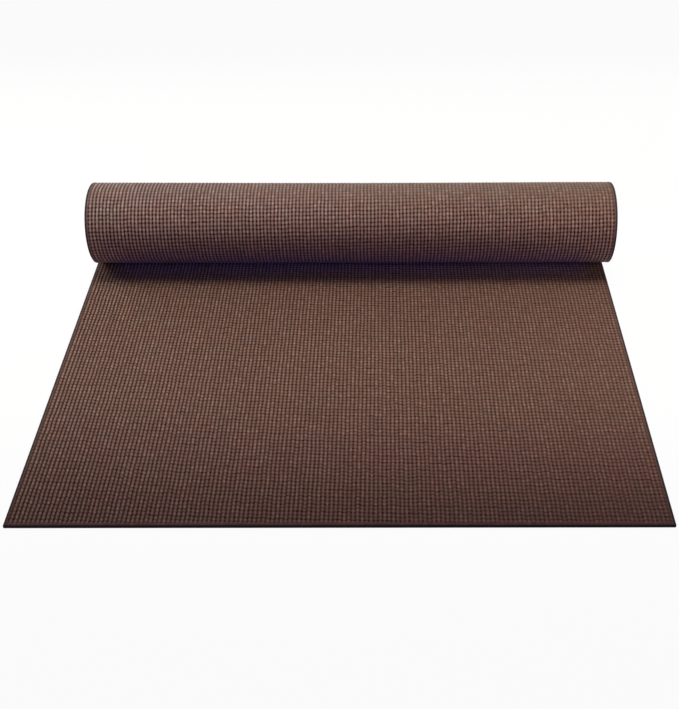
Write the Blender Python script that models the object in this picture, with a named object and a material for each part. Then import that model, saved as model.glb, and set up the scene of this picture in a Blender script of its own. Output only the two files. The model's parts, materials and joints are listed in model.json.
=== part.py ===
# Yoga mat, partly rolled up: one foam sheet that lies flat in front and is wound up behind.
# The sheet has three plies, an upper foam coat, a scrim of polyester net and a lower foam coat.
# Metres, +Z up, X across the mat, Y along it with the roll at the back.
# The sheet lies on Z = 0, climbs the back of the roll, comes down its front and winds inwards.

import math

import bmesh
import bpy
import numpy as np
from mathutils import Vector

# The sheet
MAT_WIDTH = 0.610
MAT_LENGTH = 1.727
SHEET_THICKNESS = 0.004
SCRIM_THICKNESS = 0.0004
PLY_GAP = 0.0003
EDGE_CHAMFER = 0.0008
SCRIM_INSET = 0.0005
# A cut end is drawn in by this share of the chamfer, so that none of its faces closes up
END_TRIM_SHARE = 0.9

# The laid-out part: it bends at evenly spaced lines, and half a space is left at each end
BEND_COUNT = 15
BEND_SPACING = 0.0273
BEND_GAP = 0.0003

# The winding: half turns whose centres step sideways, so that the turns lie evenly apart
OUTER_RADIUS = 0.0475
TURN_GAP = 0.0006
ROLL_DRIFT = 0.0034
STEPS_PER_HALF_TURN = 22

UPPER_BROWN = (0.155, 0.083, 0.047, 1.0)
LOWER_BROWN = (0.145, 0.079, 0.046, 1.0)
SCRIM_CREAM = (0.55, 0.50, 0.42, 1.0)
FOAM_ROUGHNESS = 0.62
SCRIM_ROUGHNESS = 0.9

# Worked out from the sizes above
HALF_WIDTH = MAT_WIDTH / 2
COAT_THICKNESS = (SHEET_THICKNESS - SCRIM_THICKNESS) / 2 - PLY_GAP
TURN_PITCH = SHEET_THICKNESS + TURN_GAP
FLAT_LENGTH = (BEND_COUNT + 0.5) * BEND_SPACING
WOUND_LENGTH = MAT_LENGTH - FLAT_LENGTH
ROLL_REACH = OUTER_RADIUS + SHEET_THICKNESS / 2
# The origin is under the middle of the whole thing. The roll sits a little to one side of the flat part.
CONTACT_Y = (FLAT_LENGTH - ROLL_REACH) / 2
FLAT_X = -ROLL_DRIFT / 2


def clear_scene():
    for old in list(bpy.data.objects):
        bpy.data.objects.remove(old, do_unlink=True)


def foam_material(name, colour, roughness):
    material = bpy.data.materials.new(name)
    material.use_nodes = True
    shader = material.node_tree.nodes["Principled BSDF"]
    shader.inputs["Base Color"].default_value = colour
    shader.inputs["Roughness"].default_value = roughness
    shader.inputs["Metallic"].default_value = 0.0
    return material


# Each ply has the heights of its two faces above the sheet's underside, and which of them shows
def ply_heights():
    lower_top = COAT_THICKNESS
    scrim_bottom = lower_top + PLY_GAP
    scrim_top = scrim_bottom + SCRIM_THICKNESS
    upper_bottom = scrim_top + PLY_GAP
    return {
        "lower_coat": (0.0, lower_top),
        "scrim": (scrim_bottom, scrim_top),
        "upper_coat": (upper_bottom, SHEET_THICKNESS),
    }


# A station is where a cross-section of the sheet stands: a point on its underside, the direction
# through the sheet from underside to top, how far the cut edge is trimmed there, and its middle in X
def station(y, z, up_y, up_z, trim=0.0, middle_x=FLAT_X):
    return {"y": y, "z": z, "up_y": up_y, "up_z": up_z, "trim": trim, "middle_x": middle_x}


def flat_stations(front_y, back_y, cut_front=False):
    stations = [station(front_y, 0.0, 0.0, 1.0), station(back_y, 0.0, 0.0, 1.0)]
    if cut_front:
        stations.insert(0, station(front_y, 0.0, 0.0, 1.0, trim=EDGE_CHAMFER))
        stations[1] = station(front_y + EDGE_CHAMFER, 0.0, 0.0, 1.0)
    return stations


def eased(share):
    share = min(max(share, 0.0), 1.0)
    return share * share * (3.0 - 2.0 * share)


# The half turns, outermost first: the middle of the sheet has this radius about this height
def half_turns():
    turns = []
    bottom = SHEET_THICKNESS / 2
    radius = OUTER_RADIUS
    length_left = WOUND_LENGTH
    climbing = True
    while length_left > 0.0:
        if climbing:
            centre = bottom + radius
            top = centre + radius
        else:
            centre = top - radius
            bottom = centre - radius
        sweep = min(math.pi, length_left / radius)
        turns.append({"radius": radius, "centre": centre, "climbing": climbing, "sweep": sweep})
        length_left -= radius * sweep
        radius -= TURN_PITCH / 2
        climbing = not climbing
        if sweep < math.pi:
            break
    return turns


def turn_station(turn, angle, trim, middle_x):
    # The angle runs from 0 at the bottom while the sheet climbs, and from 0 at the top while it comes down
    side = math.sin(angle)
    rise = -math.cos(angle)
    if not turn["climbing"]:
        side = -side
        rise = -rise
    reach = turn["radius"] + SHEET_THICKNESS / 2
    return station(
        CONTACT_Y + reach * side,
        turn["centre"] + reach * rise,
        -side,
        -rise,
        trim,
        middle_x,
    )


def winding_stations():
    first = CONTACT_Y - (BEND_SPACING - BEND_GAP) / 2
    stations = [station(first, 0.0, 0.0, 1.0)]
    turns = half_turns()
    for number, turn in enumerate(turns):
        steps = max(2, round(STEPS_PER_HALF_TURN * turn["sweep"] / math.pi))
        last = turn is turns[-1]
        # Half turns share the station at their ends, so each but the first leaves out its own first one
        for step in range(0 if number == 0 else 1, steps + 1):
            angle = turn["sweep"] * step / steps
            if last and step == steps:
                before = angle - EDGE_CHAMFER / turn["radius"]
                stations.append(turn_station(turn, before, 0.0, FLAT_X + ROLL_DRIFT))
                stations.append(turn_station(turn, angle, EDGE_CHAMFER, FLAT_X + ROLL_DRIFT))
                break
            drift = eased(angle / math.pi) if number == 0 else 1.0
            stations.append(turn_station(turn, angle, 0.0, FLAT_X + drift * ROLL_DRIFT))
    return stations


# The outline of one ply at a station, as points across the mat and up through the sheet.
# The corners of the cut edge that show are taken off, and a trimmed end is drawn in by the same amount.
def ply_section(ply, bottom, top, trim):
    if ply == "scrim":
        half = HALF_WIDTH - SCRIM_INSET - trim
        return [(-half, bottom), (half, bottom), (half, top), (-half, top)]
    half = HALF_WIDTH - trim
    narrow = HALF_WIDTH - EDGE_CHAMFER
    if ply == "lower_coat":
        edge = bottom + EDGE_CHAMFER
        face = bottom + trim
        return [(-narrow, face), (narrow, face), (half, edge), (half, top), (-half, top), (-half, edge)]
    edge = top - EDGE_CHAMFER
    face = top - trim
    return [(-half, bottom), (half, bottom), (half, edge), (narrow, face), (-narrow, face), (-half, edge)]


def ply_mesh(name, ply, stations, origin):
    bottom, top = ply_heights()[ply]
    shape = bmesh.new()
    rings = []
    for place in stations:
        trim = place["trim"] * END_TRIM_SHARE
        ring = []
        for across, height in ply_section(ply, bottom, top, trim):
            point = Vector(
                (
                    place["middle_x"] + across,
                    place["y"] + place["up_y"] * height,
                    place["z"] + place["up_z"] * height,
                )
            )
            ring.append(shape.verts.new(point - origin))
        rings.append(ring)
    for ring, following in zip(rings, rings[1:]):
        for corner in range(len(ring)):
            after = (corner + 1) % len(ring)
            shape.faces.new((ring[corner], ring[after], following[after], following[corner]))
    shape.faces.new(rings[0])
    shape.faces.new(rings[-1])
    bmesh.ops.recalc_face_normals(shape, faces=shape.faces)
    mesh = bpy.data.meshes.new(name)
    shape.to_mesh(mesh)
    shape.free()
    return mesh


def add_plies(suffix, stations, parent, origin, materials):
    for ply in ply_heights():
        name = f"{ply}_{suffix}"
        mesh = ply_mesh(name, ply, stations, origin)
        mesh.materials.append(materials[ply])
        mesh.shade_smooth()
        mesh.set_sharp_from_angle(angle=math.radians(30.0))
        piece = bpy.data.objects.new(name, mesh)
        bpy.context.collection.objects.link(piece)
        piece.parent = parent


def bend_line_y(number):
    return CONTACT_Y - (number - 0.5) * BEND_SPACING


def add_laid_out_part(materials):
    # Each empty stands on a bend line, in the sheet's top face, and carries what lies in front of it
    parent = None
    parent_origin = Vector((0.0, 0.0, 0.0))
    for number in range(1, BEND_COUNT + 1):
        origin = Vector((FLAT_X, bend_line_y(number), SHEET_THICKNESS))
        hinge = bpy.data.objects.new(f"bend_line_{number:02d}", None)
        hinge.empty_display_size = SHEET_THICKNESS
        bpy.context.collection.objects.link(hinge)
        hinge.parent = parent
        hinge.location = origin - parent_origin
        back_y = origin.y - BEND_GAP / 2
        is_front = number == BEND_COUNT
        front_y = CONTACT_Y - FLAT_LENGTH if is_front else bend_line_y(number + 1) + BEND_GAP / 2
        stations = flat_stations(front_y, back_y, cut_front=is_front)
        add_plies(f"{number:02d}", stations, hinge, origin, materials)
        parent, parent_origin = hinge, origin


# The shortest way from one turn's outer face to the inner face of the turn around it
def least_turn_gap(stations):
    outer = np.array([(s["y"], s["z"]) for s in stations])
    up = np.array([(s["up_y"], s["up_z"]) for s in stations])
    inner = outer + up * SHEET_THICKNESS
    least = math.inf
    for index in range(STEPS_PER_HALF_TURN, len(outer)):
        start = inner[: index - STEPS_PER_HALF_TURN]
        along = inner[1 : index - STEPS_PER_HALF_TURN + 1] - start
        if not len(start):
            continue
        to_point = outer[index] - start
        share = np.clip((to_point * along).sum(1) / (along * along).sum(1), 0.0, 1.0)
        gaps = np.linalg.norm(to_point - along * share[:, None], axis=1)
        least = min(least, float(gaps.min()))
    return least


def main():
    clear_scene()
    materials = {
        "upper_coat": foam_material("upper_coat_foam", UPPER_BROWN, FOAM_ROUGHNESS),
        "scrim": foam_material("scrim_polyester", SCRIM_CREAM, SCRIM_ROUGHNESS),
        "lower_coat": foam_material("lower_coat_foam", LOWER_BROWN, FOAM_ROUGHNESS),
    }
    stations = winding_stations()
    add_plies("rolled", stations, None, Vector((0.0, 0.0, 0.0)), materials)
    add_laid_out_part(materials)
    turns = sum(turn["sweep"] for turn in half_turns()) / (2.0 * math.pi)
    print(f"winding: {turns:.2f} turns, {WOUND_LENGTH * 1000:.0f} mm long")
    print(f"least gap from turn to turn: {least_turn_gap(stations) * 1000:.2f} mm")


main()
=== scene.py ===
# Yoga mat, laid out in front and wound up behind: embossed foam coats over a polyester scrim.
# Metres, +Z up, the mat's length along Y. Columns and rows count the embossed beads, columns
# from the mat's left side and rows from its front edge.
import json
import math

import bpy
import numpy as np
from mathutils import Matrix, Vector


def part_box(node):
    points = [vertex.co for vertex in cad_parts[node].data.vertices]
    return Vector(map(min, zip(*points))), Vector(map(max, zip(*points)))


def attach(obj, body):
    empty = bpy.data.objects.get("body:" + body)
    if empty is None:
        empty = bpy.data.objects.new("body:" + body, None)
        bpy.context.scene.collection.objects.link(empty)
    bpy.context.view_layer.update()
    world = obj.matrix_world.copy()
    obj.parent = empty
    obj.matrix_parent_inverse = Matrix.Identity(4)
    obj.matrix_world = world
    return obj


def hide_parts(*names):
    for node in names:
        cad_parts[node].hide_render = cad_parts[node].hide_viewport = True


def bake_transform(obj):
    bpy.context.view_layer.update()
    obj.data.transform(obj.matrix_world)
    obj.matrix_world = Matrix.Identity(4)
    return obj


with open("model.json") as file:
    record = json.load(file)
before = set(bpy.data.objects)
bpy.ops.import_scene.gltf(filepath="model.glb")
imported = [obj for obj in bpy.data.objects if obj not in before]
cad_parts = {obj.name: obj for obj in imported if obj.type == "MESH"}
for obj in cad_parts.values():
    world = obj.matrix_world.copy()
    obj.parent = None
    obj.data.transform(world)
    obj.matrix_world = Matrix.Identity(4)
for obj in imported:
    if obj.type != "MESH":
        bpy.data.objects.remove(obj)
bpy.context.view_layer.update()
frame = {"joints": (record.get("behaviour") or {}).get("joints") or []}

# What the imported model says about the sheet: the hinges lie in its top face, evenly spaced
hinges = [Vector(joint["pos_m"]) for joint in frame["joints"]]
bendSpacing = hinges[0].y - hinges[1].y
contactY = hinges[0].y + bendSpacing / 2
flatX = hinges[0].x
thickness = hinges[0].z
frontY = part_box(f"upper_coat_{len(hinges):02d}")[0].y
stripLow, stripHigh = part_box("lower_coat_01")
width = stripHigh.x - stripLow.x
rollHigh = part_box("lower_coat_rolled")[1]
rollX = rollHigh.x - width / 2
outerRadius = rollHigh.y - contactY - thickness / 2
flatLength = contactY - frontY

mat = {
    "length": 1.727,  # 68 in, the wound part included
    "turnPitch": 0.0046,  # from one turn to the next in the roll
    "columns": 149,  # beads across
    "rowsPerBend": 6,  # beads from one bend line to the next
    "telescope": 0.0007,  # how far the inner turns stand in or out at the ends
    "telescopeWave": 1.1,  # how fast they go from in to out, in radians to a half turn
    "telescopeFrom": 2,  # this begins after so many half turns, and is full after twice as many
    "sag": 0.006,  # how much flatter the roll is in its middle, as a share
    "endRise": (0.008, 0.009),  # how much taller than there it is at its left and right ends
    "sharpAngle": 25,  # degrees from which an edge stays sharp
}
rowPitch = bendSpacing / mat["rowsPerBend"]
columnPitch = width / mat["columns"]
allRows = mat["length"] / rowPitch
flatRows = round(flatLength / rowPitch)


# The winding, as half turns whose centres step up and down by half of the turns' pitch

def halfTurns():
    turns = []
    bottom, radius, start, climbing = thickness / 2, outerRadius, flatLength, True
    while start < mat["length"]:
        centre = bottom + radius if climbing else top - radius
        top = centre + radius
        bottom = centre - radius
        side = 1 if climbing else -1
        turns.append({"start": start, "radius": radius, "centre": centre, "side": side})
        start += math.pi * radius
        radius -= mat["turnPitch"] / 2
        climbing = not climbing
    return turns


turns = halfTurns()


def eased(share):
    share = np.clip(share, 0.0, 1.0)
    return share * share * (3.0 - 2.0 * share)


# Where a point of the flat sheet lies: across from its middle, along from its front edge,
# and up from its underside
def placed(across, along, height):
    x, y, z = flatX + across, frontY + along, height
    for turn in turns:
        angle = (along - turn["start"]) / turn["radius"]
        reach = turn["radius"] + thickness / 2 - height
        inside = along > turn["start"]
        y = np.where(inside, contactY + turn["side"] * np.sin(angle) * reach, y)
        z = np.where(inside, turn["centre"] - turn["side"] * np.cos(angle) * reach, z)
    beyond = (along - turns[0]["start"]) / (math.pi * outerRadius)
    x = x + (rollX - flatX) * eased(beyond)
    inOrOut = np.sin(mat["telescopeWave"] * beyond) * eased(beyond / mat["telescopeFrom"] - 1)
    x = x + mat["telescope"] * inOrOut
    aside = across / (width / 2)
    left, right = mat["endRise"]
    z = z * (1 - mat["sag"] + left * eased(-aside) + right * eased(aside))
    return np.stack([x, y, z], axis=-1)


# The embossing

relief = {
    "ribDepth": 0.00080,  # of the grooves along the mat
    "crossDepth": 0.00075,  # of the grooves across it, where they meet the others
    "ribPower": 0.8,  # lower is squarer
    "crossPower": 1.0,
    "patchy": (0.4, 7.0),  # how much the cross grooves' depth varies, and over how many beads
    "uneven": 0.00014,  # how much lower some beads are
    "crossingUneven": (0.8, 0.4),  # a crossing's depth, from this share and by how much more
    "staggerGrain": 7.0,  # over how many rows a rib's beads drift against its neighbours'
    "staggerEdge": 0.2,  # beside a groove, over this share of a bead, two ribs' rows meet
    "wobble": 0.08,  # how far the grid wanders, in beads
    "wobbleGrain": 3.0,  # over how many beads
    "wobbleEdge": 0.012,  # it dies out over this distance from the cut
    "plain": (0.0010, 0.0052),  # the embossing comes in between these distances from the cut
    "cutRound": 0.0016,  # the cut edges are rounded over this distance
    # The closer steps beside a cut, as distances from it
    "cutSteps": (0.0, 0.00015, 0.0004, 0.00075, 0.0011, 0.0016, 0.0024),
    "leastStep": 1e-4,  # in beads: a step that is closer than this to a piece's end falls away
}

# The tables of random numbers: their sizes, and what each one adds to its coat's seed
tables = {
    "lattice": 400,  # points each way, more than any pattern needs
    "spareRows": 8,  # for rows that the skew lifts beyond the mat's last one
    "bead": 0,
    "patch": 1,
    "stagger": 2,
    "crossing": 3,
    "wander": (5, 6),  # these stand alone: across and along, the same for both coats
}


def randomTable(seed, columns, rows, low=0.0):
    return np.random.default_rng(seed).uniform(low, 1.0, (columns, rows))


# Smooth noise from -1 to 1 over the beads
def beadNoise(columns, rows, grain, seed):
    lattice = randomTable(seed, tables["lattice"], tables["lattice"], -1.0)
    column, row = columns / grain + 1.0, rows / grain + 1.0
    c, r = np.floor(column).astype(int), np.floor(row).astype(int)
    across, along = eased(column - c), eased(row - r)
    near = lattice[c, r] * (1 - along) + lattice[c, r + 1] * along
    far = lattice[c + 1, r] * (1 - along) + lattice[c + 1, r + 1] * along
    return near * (1 - across) + far * across


# From a value at the mat's left side to one at its right
def leftToRight(pair, aside):
    return pair[0] * (1 - aside) + pair[1] * aside


# The row of beads that is pressed in at a place: the rows run a little askew of the cut end,
# and each rib's beads stand a little off its neighbours' rows
def beadRows(columns, rows, kind):
    aside = columns / mat["columns"]
    skew, bow = kind["skew"]
    askew = skew * (aside + bow * aside * (1 - aside))
    seed = kind["seed"] + tables["stagger"]
    shifts = randomTable(seed, mat["columns"] + 2, tables["lattice"], -1.0)
    rib = np.clip(np.floor(columns).astype(int), 0, mat["columns"] - 1)
    beside = columns - rib
    neighbour = np.clip(np.where(beside < 0.5, rib - 1, rib + 1), 0, mat["columns"] - 1)
    r = np.floor(rows / relief["staggerGrain"]).astype(int)
    step = eased(rows / relief["staggerGrain"] - r)
    own = shifts[rib, r] * (1 - step) + shifts[rib, r + 1] * step
    other = shifts[neighbour, r] * (1 - step) + shifts[neighbour, r + 1] * step
    towards = 0.5 * (1 - eased(np.minimum(beside, 1 - beside) / relief["staggerEdge"]))
    stagger = kind["stagger"] * (own * (1 - towards) + other * towards)
    slant = leftToRight(kind["slant"], aside)
    # One row is added, so that no bead's number falls below zero
    return rows + 1 + askew + stagger + slant * (beside - 0.5) * (1 - 2 * towards)


# How deep the embossing is at a place
def embossed(columns, rows, kind):
    rib = np.abs(np.sin(np.pi * columns)) ** relief["ribPower"]
    cross = np.abs(np.sin(np.pi * rows)) ** relief["crossPower"]
    tableRows = int(allRows) + tables["spareRows"]
    heights = randomTable(kind["seed"] + tables["bead"], mat["columns"] + 1, tableRows)
    bead = heights[np.floor(columns).astype(int), np.floor(rows).astype(int)]
    aside = columns / mat["columns"]
    ribDepth = relief["ribDepth"] * leftToRight(kind["ribs"], aside)
    crossDepth = relief["crossDepth"] * leftToRight(kind["cross"], aside)
    share, grain = relief["patchy"]
    patch = beadNoise(columns, rows, grain, kind["seed"] + tables["patch"])
    crossDepth = crossDepth * (1 + share * patch)
    odd = 0.5 - 0.5 * np.cos(np.pi * rows)
    crossDepth = crossDepth * (kind["everySecond"] + (1 - kind["everySecond"]) * odd)
    # A rib's crests and its grooves have crossings of their own, so two to a column
    crossings = randomTable(kind["seed"] + tables["crossing"], 2 * mat["columns"] + 2, tableRows)
    crossing = crossings[np.round(2 * columns).astype(int), np.round(rows).astype(int)]
    least, more = relief["crossingUneven"]
    crossDepth = crossDepth * (least + more * crossing)
    grooves = ribDepth * (1 - rib) + crossDepth * (1 - cross) * (1 - (1 - kind["onRib"]) * rib)
    return grooves + relief["uneven"] * bead * rib * cross


def cutDistance(columns, rows):
    side = np.minimum(columns, mat["columns"] - columns) * columnPitch
    end = np.minimum(rows, allRows - rows) * rowPitch
    return np.maximum(np.minimum(side, end), 0.0)


# Evenly spaced steps along or across the mat, with closer ones beside the cut edges
def steps(first, last, perBead, pitch, total):
    even = np.arange(round(first * perBead), round(last * perBead) + 1) / perBead
    close = np.array(relief["cutSteps"]) / pitch
    even = even[(even > close[-1]) & (even < total - close[-1])]
    found = np.unique(np.concatenate([even, close, total - close]))
    least = relief["leastStep"]
    found = found[(found > first + least) & (found < last - least)]
    return np.concatenate([[first], found, [last]])


# A closed skin over rings of points, one ring for each step along the mat. Each point's place
# is kept twice, as "sheet", its own column and row, and as "beads", with the pressed row.
def lofted(name, rings, sheet, beads, inwards):
    count, size = rings.shape[:2]
    ring, point = np.meshgrid(np.arange(count - 1), np.arange(size), indexing="ij")
    after = (point + 1) % size
    here, beyond = ring * size, (ring + 1) * size
    quads = np.stack([here + point, beyond + point, beyond + after, here + after], axis=-1)
    quads = quads.reshape(-1, 4)
    firstCap = np.arange(size)
    lastCap = (count - 1) * size + np.arange(size)[::-1]
    if inwards:
        quads, firstCap, lastCap = quads[:, ::-1], firstCap[::-1], lastCap[::-1]
    corners = np.concatenate([quads.ravel(), firstCap, lastCap]).astype(np.int32)
    starts = np.append(np.arange(len(quads) + 1) * 4, len(quads) * 4 + size).astype(np.int32)
    mesh = bpy.data.meshes.new(name)
    mesh.vertices.add(count * size)
    mesh.vertices.foreach_set("co", rings.astype(np.float32).ravel())
    mesh.loops.add(len(corners))
    mesh.loops.foreach_set("vertex_index", corners)
    mesh.polygons.add(len(starts))
    mesh.polygons.foreach_set("loop_start", starts)
    mesh.update(calc_edges=True)
    for layer, places in (("sheet", sheet), ("beads", beads)):
        flat = places.reshape(-1, 2)[corners].astype(np.float32)
        mesh.uv_layers.new(name=layer).data.foreach_set("uv", flat.ravel())
    mesh.shade_smooth()
    mesh.set_sharp_from_angle(angle=math.radians(mat["sharpAngle"]))
    piece = bpy.data.objects.new(name, mesh)
    bpy.context.scene.collection.objects.link(piece)
    return piece


coat = {
    # side: whether the embossed face is the sheet's top or its underside
    # ribs, cross: the share of the grooves' depth at the mat's left and right side
    # onRib: the share of a cross groove's depth that is left on a rib's crest
    # everySecond: the share of the others' depth that every second cross groove has
    # skew: by how many rows the rows climb over the width, and how much steeper at the left
    # slant: how far a cross groove climbs over one rib, at the left and the right, in beads
    # stagger: how far a rib's beads stand off its neighbours' rows, in beads
    # cutKeep: the share of the coat's thickness that is left at the cut
    "upper": {
        "side": 1,
        "seed": 11,
        "ribs": (0.90, 0.15),
        "cross": (0.9, 1.1),
        "onRib": 0.55,
        "everySecond": 0.85,
        "skew": (4.0, 0.6),
        "slant": (0.55, -0.35),
        "stagger": 0.20,
        "cutKeep": 0.60,
    },
    "lower": {
        "side": -1,
        "seed": 23,
        "ribs": (0.8, 0.6),
        "cross": (1.05, 1.0),
        "onRib": 0.75,
        "everySecond": 1.0,
        "skew": (3.3, -0.35),
        "slant": (0.0, 0.0),
        "stagger": 0.08,
        "cutKeep": 0.92,
    },
    "perBead": 5,  # steps over one bead
    "parting": 0.00003,  # from the middle of the sheet to a coat, at the cut edge
    "bed": 0.00022,  # and over the scrim
    "bedRise": 0.00012,  # how far behind the scrim's edge the bed begins
    "edgeColumns": 3,  # the beads beside each side of the mat that hidden turns have
}


# One coat between two rows: its embossed face, and its inner face with a bed for the scrim
def coatPiece(name, which, firstRow, lastRow, hidden=False):
    kind = coat[which]
    rows = steps(firstRow, lastRow, coat["perBead"], rowPitch, allRows)
    columns = steps(0, mat["columns"], coat["perBead"], columnPitch, mat["columns"])
    if hidden:
        shown = np.minimum(columns, mat["columns"] - columns) <= coat["edgeColumns"]
        columns = columns[shown]
    outerColumns, outerRows = np.meshgrid(columns, rows)
    fromCut = cutDistance(outerColumns, outerRows)
    rounding = 1 - np.clip(fromCut / relief["cutRound"], 0.0, 1.0)
    rounding = kind["cutKeep"] + (1 - kind["cutKeep"]) * np.sqrt(1 - rounding * rounding)
    plain, full = relief["plain"]
    pressedRows = beadRows(outerColumns, outerRows, kind)
    depth = embossed(outerColumns, pressedRows, kind) * eased((fromCut - plain) / (full - plain))
    outer = (thickness / 2 - depth) * rounding

    inset = scrim["inset"] / columnPitch
    rise = inset + coat["bedRise"] / columnPitch
    inner = np.array([0.0, inset, rise])
    inner = np.concatenate([mat["columns"] - inner, inner[::-1]])
    innerColumns, innerRows = np.meshgrid(inner, rows)
    overScrim = cutDistance(innerColumns, innerRows) > scrim["inset"] + coat["bedRise"] / 2
    bed = np.where(overScrim, coat["bed"], coat["parting"])

    column = np.concatenate([outerColumns, innerColumns], axis=1)
    row = np.concatenate([outerRows, innerRows], axis=1)
    fromMiddle = np.concatenate([outer, bed], axis=1)
    wander = relief["wobble"] * eased(cutDistance(column, row) / relief["wobbleEdge"])
    seedAcross, seedAlong = tables["wander"]
    wanderAcross = wander * beadNoise(column, row, relief["wobbleGrain"], seedAcross)
    wanderAlong = wander * beadNoise(column, row, relief["wobbleGrain"], seedAlong)
    across = (column - mat["columns"] / 2 + wanderAcross) * columnPitch
    along = (row + wanderAlong) * rowPitch
    points = placed(across, along, thickness / 2 + kind["side"] * fromMiddle)
    beadRow = np.concatenate([pressedRows, innerRows], axis=1)
    sheet, beads = np.stack([column, row], axis=-1), np.stack([column, beadRow], axis=-1)
    return lofted(name, points, sheet, beads, kind["side"] < 0)


scrim = {
    "thickness": 0.0004,
    "inset": 0.0005,  # from the cut edge
    "laidSteps": 1,  # steps over one bead where it lies flat
    "woundSteps": 3,  # and where it is wound up
    "yarn": (0.46, 0.42, 0.35, 1),
    "between": (0.16, 0.11, 0.085, 1),
    "yarnEdge": (0.62, 0.72),  # where a yarn begins and is full, in half beads
    "roughness": 0.85,
}


def scrimPiece(name, firstRow, lastRow):
    perBead = scrim["laidSteps"] if lastRow <= flatRows else scrim["woundSteps"]
    inset = scrim["inset"] / rowPitch
    rows = np.linspace(firstRow, lastRow, round((lastRow - firstRow) * perBead) + 1)
    rows = np.clip(rows, inset, allRows - inset)
    half = scrim["thickness"] / 2
    edge = scrim["inset"] / columnPitch
    columns = np.array([edge, mat["columns"] - edge, mat["columns"] - edge, edge])
    heights = thickness / 2 + np.array([half, half, -half, -half])
    column, row = np.meshgrid(columns, rows)
    height = np.broadcast_to(heights, column.shape)
    points = placed((column - mat["columns"] / 2) * columnPitch, row * rowPitch, height)
    sheet = np.stack([column, row], axis=-1)
    return lofted(name, points, sheet, sheet, False)


# Shader maths

# A socket of a node tree, so that sums on surface patterns read as sums
class Signal:
    def __init__(self, tree, socket):
        self.tree, self.socket = tree, socket

    def maths(self, operation, *others):
        return self.tree.node("ShaderNodeMath", {"operation": operation}, self, *others)

    def __add__(self, other):
        return self.maths("ADD", other)

    __radd__ = __add__

    def __mul__(self, other):
        return self.maths("MULTIPLY", other)

    __rmul__ = __mul__

    def __sub__(self, other):
        return self.maths("SUBTRACT", other)

    def __rsub__(self, other):
        return self.tree.node("ShaderNodeMath", {"operation": "SUBTRACT"}, other, self)

    def ramp(self, low, high):
        settings = {"interpolation_type": "SMOOTHSTEP"}
        return self.tree.node("ShaderNodeMapRange", settings, self, low, high)

    # From 0 in the middle of a bead to 1 in the groove beside it
    def besideBead(self):
        return (self.maths("FRACT") - 0.5).maths("ABSOLUTE") * 2


# The nodes of a material or of the world
class Finish:
    def __init__(self, owner):
        self.owner = owner
        owner.use_nodes = True
        self.tree = owner.node_tree
        self.tree.nodes.clear()

    # One node: its settings first, then the values or links of its sockets, in order or by name
    def node(self, kind, settings, *values, output=0, **named):
        made = self.tree.nodes.new(kind)
        for name, value in settings.items():
            setattr(made, name, value)
        sockets = [socket for socket in made.inputs if socket.enabled]
        pairs = list(zip(sockets, values))
        pairs += [(made.inputs[name.replace("_", " ")], value) for name, value in named.items()]
        for socket, value in pairs:
            if isinstance(value, Signal):
                self.tree.links.new(value.socket, socket)
            else:
                socket.default_value = value
        outputs = [socket for socket in made.outputs if socket.enabled]
        return Signal(self, outputs[output]) if outputs else None

    # The column (output 0) or the row (output 1) that one of a piece's two layers keeps
    def place(self, layer, output):
        both = self.node("ShaderNodeUVMap", {"uv_map": layer})
        return self.node("ShaderNodeSeparateXYZ", {}, both, output=output)

    def joined(self, x, y, z):
        return self.node("ShaderNodeCombineXYZ", {}, x, y, z)

    def chance(self, place):
        return self.node("ShaderNodeTexWhiteNoise", {"noise_dimensions": "3D"}, place)

    def mixed(self, factor, first, second, blend="MIX"):
        settings = {"data_type": "RGBA", "blend_type": blend}
        return self.node("ShaderNodeMix", settings, factor, first, second)

    def show(self, shader):
        self.node("ShaderNodeOutputMaterial", {}, shader)
        return self.owner


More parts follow.
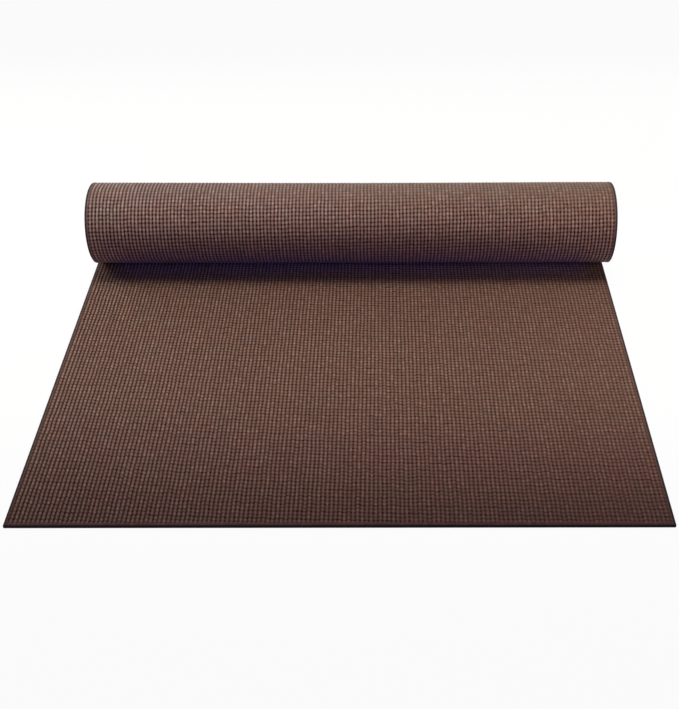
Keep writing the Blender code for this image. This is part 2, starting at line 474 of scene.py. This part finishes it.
foam = {
    # Pairs are for the left and the right side
    # lines, dots: a cross groove's painted shade on a crest, and where it meets a rib's groove
    # everySecond: the share of that painted shade that every second cross groove has
    # faint: the share of it at the first of two rows, and from there to the whole at the second
    # lineShade, dotShade: where it begins and is full, from the bead's middle, in half beads
    # tints: painted light and shade multiplying the crests, from the first of two rows to the
    # second
    # layer: which slice of the random patterns it is
    "upper": {
        # the crests are lighter and greyer at the left: painted light from that side
        "crests": ((0.192, 0.130, 0.108, 1), (0.164, 0.104, 0.085, 1)),
        # the grooves: the foam's own redder colour, partly painted shade in the recesses; darker
        # at the left
        "grooves": ((0.066, 0.020, 0.012, 1), (0.136, 0.055, 0.039, 1)),
        "lines": (0.98, 0.76),
        "dots": 0.92,
        "everySecond": 0.80,
        "faint": (1.15, flatRows, 30),
        "lineShade": (0.45, 0.92),
        "dotShade": (0.20, 0.80),
        "tints": [
            # painted shade towards the front edge, taking out some green and blue
            {"rows": (34, 10), "left": (1.0, 0.91, 0.95, 1), "right": (0.98, 0.88, 0.95, 1)},
            # painted shade at the front edge, deepest at the right corner
            {"rows": (10, 0), "left": (1.0, 1.0, 1.02, 1), "right": (0.89, 0.93, 0.99, 1)},
        ],
        "sheen": 0.02,
        "layer": 0.0,
    },
    "lower": {
        # lighter and greyer at the left: painted light from that side
        "crests": ((0.256, 0.175, 0.137, 1), (0.240, 0.152, 0.117, 1)),
        # the grooves: the foam's own redder colour, partly painted shade in the recesses
        "grooves": ((0.098, 0.029, 0.015, 1), (0.104, 0.031, 0.016, 1)),
        "lines": (0.82, 0.62),
        "dots": 1.08,
        "everySecond": 0.95,
        # the cross grooves' painted shade is faint on the roll's top and full on its front face
        "faint": (0.10, flatRows + 28, flatRows + 42),
        "lineShade": (0.35, 0.88),
        "dotShade": (0.15, 0.75),
        "tints": [
            # painted bluish-grey sheen on the roll's top, strongest at the left, and darker
            # towards the right
            {
                "rows": (flatRows + 52, flatRows + 28),
                "left": (0.87, 1.06, 1.30, 1),
                "right": (0.66, 0.74, 0.80, 1),
            },
            # painted shade on the roll's lower front, deepest at the left
            {
                "rows": (flatRows + 38, flatRows + 54),
                "left": (0.86, 0.71, 0.71, 1),
                "right": (0.99, 0.90, 0.90, 1),
            },
        ],
        "sheen": 0.10,
        "layer": 40.0,
    },
    # Random patterns, scaled to a millimetre
    "patches": {"Scale": 0.045, "Detail": 3.0},
    "cloud": {"Scale": 0.09, "Detail": 2.0},
    "lineNoise": {"Scale": 0.16, "Detail": 3.0, "Roughness": 0.6},
    "pores": {"Scale": 0.9, "Detail": 3.0, "Roughness": 0.7},
    "crossingLayer": 7,  # the slice for the crossings' pattern lies this far above the beads'
    "ruddy": (1.04, 0.95, 0.92, 1),  # what the redder patches do to a crest's colour
    "ruddyPatches": (0.35, 0.65),  # where in their pattern they begin and are full
    "lineNoiseRange": (0.25, 0.70),  # where in its pattern the lines' painted shade begins and is full
    "pairing": (0.2, 0.8),  # how a strong cross groove goes over to the weak one beside it
    "pit": (0.019, 0.005, 0.0025, 1),  # painted shade at the bottom of a cross groove
    "edgeBead": (0.097, 0.046, 0.044, 1),  # the plain outermost bead
    # painted shade on the rounded cut: dark at the sides, nearly black at the ends
    "cutSideShade": (0.030, 0.022, 0.023, 1),
    "sideReach": (1.3, 3.0),  # mm, where the cut's painted shade begins to fade and is gone
    "cutEndShade": (0.012, 0.005, 0.0055, 1),
    "endReach": (0.0, 0.6),
    "ribShade": (0.22, 0.82),  # where a rib's groove begins and is full, in half beads
    "ribMask": 0.90,  # how much of the grooves' darker colour, their own and painted shade, shows there
    "grooveShadeFade": 0.65,  # how much of the grooves' painted shade is taken off at the top right of the roll
    "grooveShadeFadeRows": (flatRows + 44, flatRows + 30),
    "crossingTone": (0.70, 0.36),  # a crossing's painted shade, from this share and by how much more
    # The crests' brightness: a base, and what is added by the bead, the patterns and the glints
    "baseShade": 0.59,
    "beadShade": 0.28,
    "cloudShade": 0.14,
    "poreShade": 0.52,
    "glintShade": 0.20,
    "glintBeads": (0.80, 1.0),  # only beads above the first of these shares have one
    "roughness": 0.52,
    "grooveRoughness": 0.14,
    "poreRoughness": 0.10,
    "gloss": 0.06,
    "sheenRoughness": 0.35,
    "sheenTint": (0.70, 0.88, 1.0, 1),
}


def foamFinish(which):
    look = foam[which]
    finish = Finish(bpy.data.materials.new(f"{which}_foam"))
    column = finish.place("beads", 0)
    row = finish.place("beads", 1)
    sheetRow = finish.place("sheet", 1)
    aside = column * (1 / mat["columns"])
    columnWidth, rowWidth = columnPitch * 1000, rowPitch * 1000  # in millimetres

    # The patterns: by the bead, by the crossing, and in millimetres without regard to either
    bead = finish.joined(column.maths("FLOOR"), row.maths("FLOOR"), look["layer"])
    tone = finish.chance(bead)
    halfColumn, wholeRow = (column * 2 + 0.5).maths("FLOOR"), (row + 0.5).maths("FLOOR")
    crossing = finish.joined(halfColumn, wholeRow, look["layer"] + foam["crossingLayer"])
    deep = finish.chance(crossing)
    place = finish.joined(column * columnWidth, row * rowWidth, look["layer"])
    patches, cloud, lineNoise, pores = (
        finish.node("ShaderNodeTexNoise", {}, place, **foam[pattern])
        for pattern in ("patches", "cloud", "lineNoise", "pores")
    )

    # The grooves, from 0 on a crest to 1: along the mat, and across it in pairs
    ribGroove = column.besideBead().ramp(*foam["ribShade"])
    begins, full = (
        line + ribGroove * (dot - line) for line, dot in zip(look["lineShade"], look["dotShade"])
    )
    crossGroove = row.besideBead().ramp(begins, full)
    odd = ((0.5 * row).maths("FRACT").maths("PINGPONG", 0.5) * 2).ramp(*foam["pairing"])
    crossShade = crossGroove * (look["everySecond"] + (1 - look["everySecond"]) * odd)
    # the cross grooves' painted shade: patchy on the crests, and more where they meet a rib's
    # groove
    left, right = look["lines"]
    lines = lineNoise.ramp(*foam["lineNoiseRange"]) * (left + (right - left) * aside)
    pits = crossShade * (lines + ribGroove * (look["dots"] - lines))
    least, more = foam["crossingTone"]
    pits = pits * (least + more * deep)
    faint, faintRow, fullRow = look["faint"]
    pits = pits * (faint + (1 - faint) * sheetRow.ramp(faintRow, fullRow))

    # The distance from the cut, in millimetres
    fromSide = column.maths("MINIMUM", float(mat["columns"]) - column) * columnWidth
    fromEnd = sheetRow.maths("MINIMUM", allRows - sheetRow) * rowWidth
    fromCut = fromSide.maths("MINIMUM", fromEnd)
    embossing = fromCut.ramp(relief["plain"][0] * 1000, relief["plain"][1] * 1000)

    crest = finish.mixed(aside, *look["crests"])
    crest = finish.mixed(patches.ramp(*foam["ruddyPatches"]), crest, foam["ruddy"], "MULTIPLY")
    # painted light and shade by rows: near the front edge, on the roll's top and on its lower
    # front
    for tint in look["tints"]:
        shift = finish.mixed(aside, tint["left"], tint["right"])
        crest = finish.mixed(sheetRow.ramp(*tint["rows"]), crest, shift, "MULTIPLY")
    ribMask = foam["ribMask"]
    # painted light: less of the grooves' shade at the top right of the roll
    if which == "lower":
        ribMask = ribMask * (1 - foam["grooveShadeFade"] * aside * sheetRow.ramp(*foam["grooveShadeFadeRows"]))
    crest = finish.mixed(embossing, foam["edgeBead"], crest)
    glint = tone.ramp(*foam["glintBeads"]) * (1 - ribGroove) * (1 - crossGroove)
    shade = foam["baseShade"] + tone * foam["beadShade"] + cloud * foam["cloudShade"]
    shade = shade + pores * foam["poreShade"] + glint * foam["glintShade"]
    crest = finish.mixed(1.0, crest, finish.joined(shade, shade, shade), "MULTIPLY")
    groove = finish.mixed(aside, *look["grooves"])
    # the grooves' colour: partly the foam's own, partly painted shade in the recesses
    colour = finish.mixed(ribGroove * embossing * ribMask, crest, groove)
    # painted shade at the bottoms of the cross grooves
    colour = finish.mixed(pits * embossing, colour, foam["pit"])
    # painted shade on the cut at the sides and the ends
    colour = finish.mixed(fromSide.ramp(*foam["sideReach"]), foam["cutSideShade"], colour)
    colour = finish.mixed(fromEnd.ramp(*foam["endReach"]), foam["cutEndShade"], colour)
    roughness = foam["roughness"] + foam["grooveRoughness"] * ribGroove
    roughness = roughness + foam["poreRoughness"] * (pores - 0.5)
    shader = finish.node(
        "ShaderNodeBsdfPrincipled",
        {},
        Base_Color=colour,
        Roughness=roughness,
        Specular_IOR_Level=foam["gloss"],
        Sheen_Weight=look["sheen"],
        Sheen_Roughness=foam["sheenRoughness"],
        Sheen_Tint=foam["sheenTint"],
    )
    return finish.show(shader)


# The yarns run under the grooves
def scrimFinish():
    finish = Finish(bpy.data.materials.new("scrim_net"))
    besideRib = finish.place("beads", 0).besideBead()
    besideCross = finish.place("beads", 1).besideBead()
    yarn = besideRib.maths("MAXIMUM", besideCross).ramp(*scrim["yarnEdge"])
    colour = finish.mixed(yarn, scrim["between"], scrim["yarn"])
    look = {"Base_Color": colour, "Roughness": scrim["roughness"]}
    return finish.show(finish.node("ShaderNodeBsdfPrincipled", {}, **look))


plies = ("upper", "lower", "scrim")
finishes = {"upper": foamFinish("upper"), "lower": foamFinish("lower"), "scrim": scrimFinish()}
print("finishes: two foams and the scrim's net")


def dressed(piece, which, node, rowCount):
    piece.data.materials.append(finishes[which])
    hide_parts(node)
    rowCount * rowPitch


# A strip of one ply between two rows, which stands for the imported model's piece of that number
def makeStrip(which, name, number, firstRow, lastRow):
    if which == "scrim":
        piece, node = scrimPiece(name, firstRow, lastRow), f"scrim_{number:02d}"
    else:
        piece, node = coatPiece(name, which, firstRow, lastRow), f"{which}_coat_{number:02d}"
    dressed(piece, which, node, lastRow - firstRow)
    return piece


# A strip of each ply to a bend, from the middle of one body to the middle of the next,
# and one more at the front edge
def makeLaidOut():
    perBend = mat["rowsPerBend"]
    for bend in range(1, len(hinges) + 1):
        lastRow = flatRows - (bend - 1) * perBend
        for which in plies:
            piece = makeStrip(which, f"{which}_bend_{bend:02d}", bend, lastRow - perBend, lastRow)
            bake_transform(piece)
    frontRows = flatRows - len(hinges) * perBend
    for which in plies:
        piece = makeStrip(which, f"{which}_front", len(hinges), 0, frontRows)
        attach(piece, f"length_{len(hinges):02d}")
    print(f"laid out: {3 * len(hinges) + 3} pieces over {flatRows} rows of beads")


winding = {
    "shownOutside": [0, 23, 46, 69],  # rows past the contact line: the turn that shows, in thirds
    "hiddenEvery": 110,  # rows in one piece of the turns that are hidden
    "boreRows": 24,  # at least: the innermost turn's inner face, which shows in the core
}


def makeRoll():
    parts = []
    outside = [flatRows + rows for rows in winding["shownOutside"]]
    for number, (first, last) in enumerate(zip(outside, outside[1:])):
        parts.append((f"lower_outside_{number + 1}", "lower", first, last, False))
    bore = math.floor(allRows - winding["boreRows"])
    for which, start, end in (("lower", outside[-1], allRows), ("upper", flatRows, bore)):
        marks = list(np.arange(start, end, winding["hiddenEvery"])) + [end]
        for number, (first, last) in enumerate(zip(marks, marks[1:])):
            parts.append((f"{which}_wound_{number + 1}", which, first, last, True))
    parts.append(("upper_bore", "upper", bore, allRows, False))
    for name, which, first, last, hidden in parts:
        piece = coatPiece(name, which, first, last, hidden)
        dressed(piece, which, f"{which}_coat_rolled", last - first)
        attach(piece, "roll")
    net = scrimPiece("scrim_wound", flatRows, allRows)
    dressed(net, "scrim", "scrim_rolled", allRows - flatRows)
    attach(net, "roll")
    print(f"roll: {len(parts) + 1} pieces, {len(turns)} half turns")


makeLaidOut()
makeRoll()

# The floor, the light and the camera

studio = {
    "floorSize": 12.0,
    "floorColour": (0.90, 0.90, 0.90, 1),
    "floorWhite": 0.95,  # how much of the floor's white comes from its colour alone
    "drop": 0.0002,  # the floor is this far under the mat
    "worldLight": 0.160,
    "worldColour": (1.0, 0.97, 0.97, 1),
    "seenOutputs": (0, 3, 6),  # the Light Path's outputs for the camera, gloss and glass
}


# 1 for rays from the camera or from a mirror or glass, 0 for the light's own
def seenRays(finish):
    camera, gloss, glass = (
        finish.node("ShaderNodeLightPath", {}, output=output) for output in studio["seenOutputs"]
    )
    return camera.maths("MAXIMUM", gloss).maths("MAXIMUM", glass)


def makeStage():
    half = studio["floorSize"] / 2
    mesh = bpy.data.meshes.new("floor")
    corners = [(-half, -half), (half, -half), (half, half), (-half, half)]
    mesh.from_pydata([(x, y, -studio["drop"]) for x, y in corners], [], [(0, 1, 2, 3)])
    floor = bpy.data.objects.new("floor", mesh)
    bpy.context.scene.collection.objects.link(floor)
    finish = Finish(bpy.data.materials.new("floor_white"))
    lit = finish.node("ShaderNodeBsdfDiffuse", {}, Color=studio["floorColour"])
    white = finish.node("ShaderNodeEmission", {}, Color=(1, 1, 1, 1), Strength=1.0)
    factor = seenRays(finish) * studio["floorWhite"]
    mesh.materials.append(finish.show(finish.node("ShaderNodeMixShader", {}, factor, lit, white)))


def makeWorld():
    bpy.context.scene.world = bpy.data.worlds.new("studio")
    finish = Finish(bpy.context.scene.world)
    seen = seenRays(finish)
    colour = finish.mixed(seen, studio["worldColour"], (1, 1, 1, 1))
    strength = studio["worldLight"] + seen * (1 - studio["worldLight"])
    background = finish.node("ShaderNodeBackground", {}, colour, strength)
    finish.node("ShaderNodeOutputWorld", {}, background)


# Powers are in watts and spreads in degrees. The last two are blue, for the dark violet in the
# crease in front of the roll.
lamps = {
    "key": {
        "place": (0.0, 0.366, 0.590),
        "aim": (0.0, 0.2560, 0.0),
        "size": (1.5, 0.845),
        "power": 3.16,
        "spread": 32.0,
        "colour": (1.0, 0.97, 0.86),
    },
    "left": {
        "place": (-1.05, 0.55, 0.50),
        "aim": (-0.05, 0.05, 0.02),
        "size": (0.5, 0.4),
        "power": 1.0,
        "spread": 75,
        "colour": (1.0, 0.98, 0.96),
    },
    "rollBeam": {
        "place": (0.0, -0.520, 0.757),
        "aim": (0.0, 0.187, 0.0530),
        "size": (1.4, 0.06),
        "power": 0.114,
        "spread": 5,
        "colour": (1.0, 0.97, 0.94),
    },
    "right": {
        "place": (0.90, -0.25, 0.45),
        "aim": (0.25, 0.19, 0.06),
        "size": (0.4, 0.4),
        "power": 0.22,
        "spread": 60,
        "colour": (1.0, 0.97, 0.94),
    },
    "frontFill": {
        "place": (0.0, -1.7, 0.22),
        "aim": (0.0, 0.17, 0.02),
        "size": (1.6, 0.2),
        "power": 1.8,
        "spread": 90,
        "colour": (0.06, 0.14, 1.0),
    },
    "creaseBeam": {
        "place": (0.0, -0.25, 0.35),
        "aim": (0.0, 0.160, 0.008),
        "size": (0.56, 0.02),
        "power": 0.016,
        "spread": 3.5,
        "colour": (0.02, 0.03, 1.0),
    },
}


def makeLamp(name, lamp):
    light = bpy.data.lights.new(name, "AREA")
    light.shape = "RECTANGLE"
    light.size, light.size_y = lamp["size"]
    light.energy = lamp["power"]
    light.spread = math.radians(lamp["spread"])
    light.color = lamp["colour"]
    holder = bpy.data.objects.new(name, light)
    holder.location = lamp["place"]
    direction = Vector(lamp["aim"]) - Vector(lamp["place"])
    holder.rotation_euler = direction.to_track_quat("-Z", "Y").to_euler()
    holder.visible_camera = False
    bpy.context.scene.collection.objects.link(holder)


view = {
    "imageSize": (679, 709),
    "focalPixels": 1019.5,
    "sensor": 36.0,
    "axisPixel": 381.8,  # the column that the camera looks straight along
    "height": 0.7201,
    "aside": 0.0367,
    "back": 1.0245,  # in front of the contact line
    "down": 40.48,  # degrees below level
    "roll": -0.065,  # degrees
}


def makeCamera():
    lens = bpy.data.cameras.new("camera")
    longSide = max(view["imageSize"])
    lens.sensor_width = view["sensor"]
    lens.lens = view["focalPixels"] / longSide * view["sensor"]
    lens.shift_x = (view["imageSize"][0] / 2 - view["axisPixel"]) / longSide
    camera = bpy.data.objects.new("camera", lens)
    camera.location = (view["aside"], contactY - view["back"], view["height"])
    tilt = Matrix.Rotation(math.radians(90 - view["down"]), 3, "X")
    roll = Matrix.Rotation(math.radians(view["roll"]), 3, "Z")
    camera.rotation_euler = (tilt @ roll).to_euler()
    bpy.context.scene.collection.objects.link(camera)
    bpy.context.scene.camera = camera


makeStage()
makeWorld()
for name, lamp in lamps.items():
    makeLamp(name, lamp)
makeCamera()
bpy.context.scene.view_settings.view_transform = "Standard"
print("studio: floor, light and camera")
